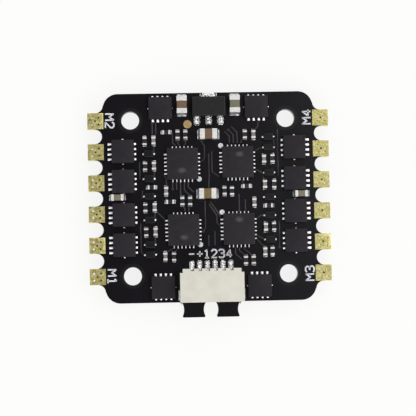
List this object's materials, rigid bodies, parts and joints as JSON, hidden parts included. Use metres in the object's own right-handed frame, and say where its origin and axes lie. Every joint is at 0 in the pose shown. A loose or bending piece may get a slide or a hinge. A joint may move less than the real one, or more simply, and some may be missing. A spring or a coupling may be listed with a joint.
{
  "type": "electronic speed controller",
  "caption": "Square brushless motor speed controller board with plated motor tabs along two sides, battery tabs, power transistors, gate drivers and a signal socket.",
  "frame": {"origin": "centre of the four mounting holes, on the underside face of the board", "axes": "+X towards the side with motors 3 and 4, +Y away from the battery tabs, +Z out of the face that carries the signal socket"},
  "size_m": [0.031, 0.0289, 0.0049],
  "materials": {
    "masked_laminate": "satin black solder mask over fibreglass laminate",
    "gold_plating": "thin gold over nickel on copper, satin",
    "mosfet_moulding": "matt moulded epoxy",
    "tinned_leads": "bright tin",
    "driver_moulding": "matt moulded epoxy",
    "regulator_moulding": "matt moulded epoxy",
    "socket_nylon": "natural ivory nylon",
    "tinned_bronze": "tinned phosphor bronze",
    "brown_ceramic": "fired ceramic, tan brown",
    "olive_ceramic": "fired ceramic, olive grey",
    "grey_ceramic": "fired ceramic, warm grey",
    "tinned_end_caps": "bright tin over nickel",
    "resistor_glaze": "black glaze over alumina",
    "diode_moulding": "matt moulded epoxy"
  },
  "bodies": {
    "root": {"circuit_board": "masked_laminate", "motor_pad_m1_a": "gold_plating", "motor_pad_m1_b": "gold_plating", "motor_pad_m1_c": "gold_plating", "motor_pad_m2_a": "gold_plating", "motor_pad_m2_b": "gold_plating", "motor_pad_m2_c": "gold_plating", "motor_pad_m3_a": "gold_plating", "motor_pad_m3_b": "gold_plating", "motor_pad_m3_c": "gold_plating", "motor_pad_m4_a": "gold_plating", "motor_pad_m4_b": "gold_plating", "motor_pad_m4_c": "gold_plating", "battery_pad_negative": "gold_plating", "battery_pad_positive": "gold_plating", "mosfet_high_m1_a": "mosfet_moulding", "mosfet_high_m1_b": "mosfet_moulding", "mosfet_high_m1_c": "mosfet_moulding", "mosfet_high_m2_a": "mosfet_moulding", "mosfet_high_m2_b": "mosfet_moulding", "mosfet_high_m2_c": "mosfet_moulding", "mosfet_high_m3_a": "mosfet_moulding", "mosfet_high_m3_b": "mosfet_moulding", "mosfet_high_m3_c": "mosfet_moulding", "mosfet_high_m4_a": "mosfet_moulding", "mosfet_high_m4_b": "mosfet_moulding", "mosfet_high_m4_c": "mosfet_moulding", "mosfets_low_m1": "mosfet_moulding", "mosfets_low_m2": "mosfet_moulding", "mosfets_low_m3": "mosfet_moulding", "mosfets_low_m4": "mosfet_moulding", "mosfet_high_leads": "tinned_leads", "mosfet_low_leads": "tinned_leads", "gate_driver_m1": "driver_moulding", "gate_driver_m2": "driver_moulding", "gate_driver_m3": "driver_moulding", "gate_driver_m4": "driver_moulding", "gate_driver_pads": "tinned_leads", "microcontroller_m1": "driver_moulding", "microcontroller_m2": "driver_moulding", "microcontroller_m3": "driver_moulding", "microcontroller_m4": "driver_moulding", "microcontroller_pads": "tinned_leads", "voltage_regulator_body": "regulator_moulding", "voltage_regulator_leads": "tinned_leads", "signal_socket_housing": "socket_nylon", "signal_socket_contacts": "tinned_bronze", "signal_socket_anchors": "tinned_bronze", "bulk_capacitor_bodies": "brown_ceramic", "phase_capacitor_bodies": "olive_ceramic", "small_capacitor_bodies": "grey_ceramic", "capacitor_end_caps": "tinned_end_caps", "resistor_bodies": "resistor_glaze", "resistor_end_caps": "tinned_end_caps", "diode_bodies": "diode_moulding", "diode_leads": "tinned_leads", "underside_chip_bodies": "grey_ceramic", "underside_chip_end_caps": "tinned_end_caps", "test_pad": "gold_plating"}
  },
  "joints": []
}
